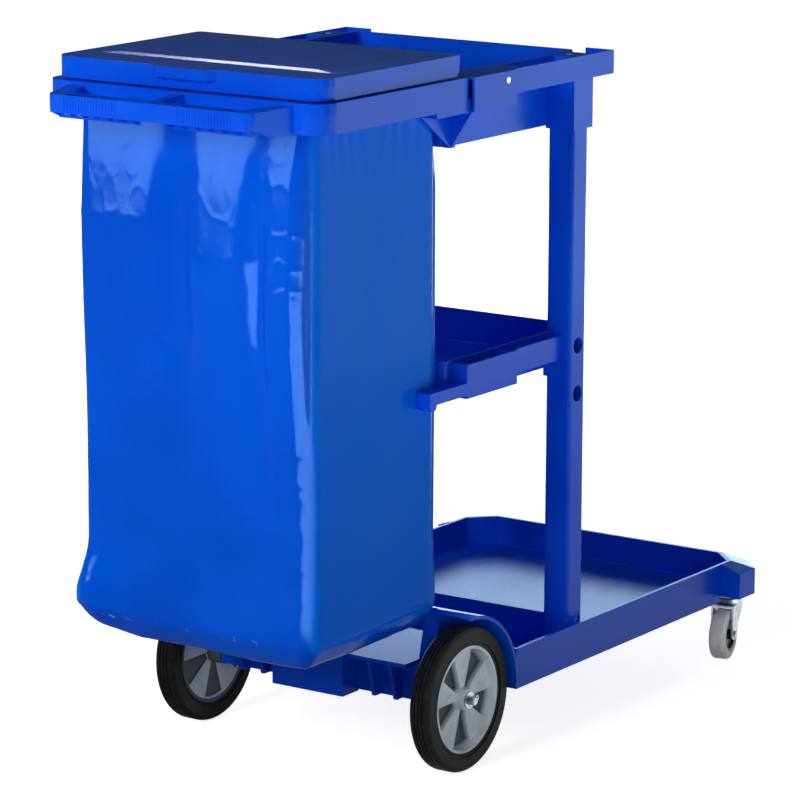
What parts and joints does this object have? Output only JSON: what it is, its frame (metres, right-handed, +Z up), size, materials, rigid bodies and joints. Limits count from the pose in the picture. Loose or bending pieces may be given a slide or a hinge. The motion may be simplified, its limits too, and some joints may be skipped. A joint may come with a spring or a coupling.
{
  "type": "janitor cart",
  "caption": "Wheeled cleaning cart with a tray platform, posts carrying a shelf and a top tray, and a lidded frame with a push handle that holds a hanging vinyl bag.",
  "frame": {"origin": "under the middle of the cart's length and width, on the floor", "axes": "+X from the push handle to the platform's end, +Y to the left, +Z up"},
  "size_m": [1.171, 0.544, 0.99],
  "materials": {
    "plastic_blue": "moulded blue plastic, satin sheen",
    "vinyl_bag": "blue coated vinyl, glossy, creased",
    "tyre_black": "black rubber with moulded rings",
    "hub_grey": "grey moulded plastic",
    "caster_grey": "grey non-marking rubber",
    "caster_black": "black moulded plastic",
    "zinc": "zinc plated steel",
    "nylon": "dark nylon",
    "brass": "brass eyelets, dulled"
  },
  "bodies": {
    "chassis": {"base_platform": "plastic_blue", "left_post": "plastic_blue", "right_post": "plastic_blue", "mid_shelf": "plastic_blue", "top_tray": "plastic_blue", "bag_frame": "plastic_blue", "hinge_pins": "zinc", "bag": "vinyl_bag", "bag_eyelets": "brass", "rear_axle": "zinc", "axle_washers": "zinc", "split_pins": "zinc", "left_caster_stem": "zinc", "right_caster_stem": "zinc", "foot_screws": "zinc", "shelf_screws": "zinc", "tray_screws": "zinc", "frame_screws": "zinc"},
    "lid": {"lid": "plastic_blue"},
    "left_wheel": {"left_rear_hub": "hub_grey", "left_rear_tyre": "tyre_black"},
    "right_wheel": {"right_rear_hub": "hub_grey", "right_rear_tyre": "tyre_black"},
    "left_swivel": {"left_caster_fork": "zinc", "left_swivel_washer": "nylon", "left_caster_axle": "zinc"},
    "left_caster_wheel": {"left_caster_core": "caster_black", "left_caster_tyre": "caster_grey"},
    "right_swivel": {"right_caster_fork": "zinc", "right_swivel_washer": "nylon", "right_caster_axle": "zinc"},
    "right_caster_wheel": {"right_caster_core": "caster_black", "right_caster_tyre": "caster_grey"}
  },
  "joints": [
    {"name": "lid_hinge", "type": "hinge", "parent": "chassis", "child": "lid", "pos_m": [-0.1935, 0, 0.974], "axis": [0, 1, 0], "range_deg": [0, 100]},
    {"name": "left_wheel_spin", "type": "hinge", "parent": "chassis", "child": "left_wheel", "pos_m": [-0.1765, 0.2165, 0.1016], "axis": [0, 1, 0], "continuous": true},
    {"name": "right_wheel_spin", "type": "hinge", "parent": "chassis", "child": "right_wheel", "pos_m": [-0.1765, -0.2165, 0.1016], "axis": [0, 1, 0], "continuous": true},
    {"name": "left_swivel", "type": "hinge", "parent": "chassis", "child": "left_swivel", "pos_m": [0.5455, 0.23, 0.08], "axis": [0, 0, 1], "continuous": true},
    {"name": "right_swivel", "type": "hinge", "parent": "chassis", "child": "right_swivel", "pos_m": [0.5455, -0.23, 0.08], "axis": [0, 0, 1], "continuous": true},
    {"name": "left_caster_spin", "type": "hinge", "parent": "left_swivel", "child": "left_caster_wheel", "pos_m": [0.52017, 0.22415, 0.038], "axis": [-0.225, 0.9744, 0], "continuous": true},
    {"name": "right_caster_spin", "type": "hinge", "parent": "right_swivel", "child": "right_caster_wheel", "pos_m": [0.52017, -0.23585, 0.038], "axis": [-0.225, 0.9744, 0], "continuous": true}
  ]
}
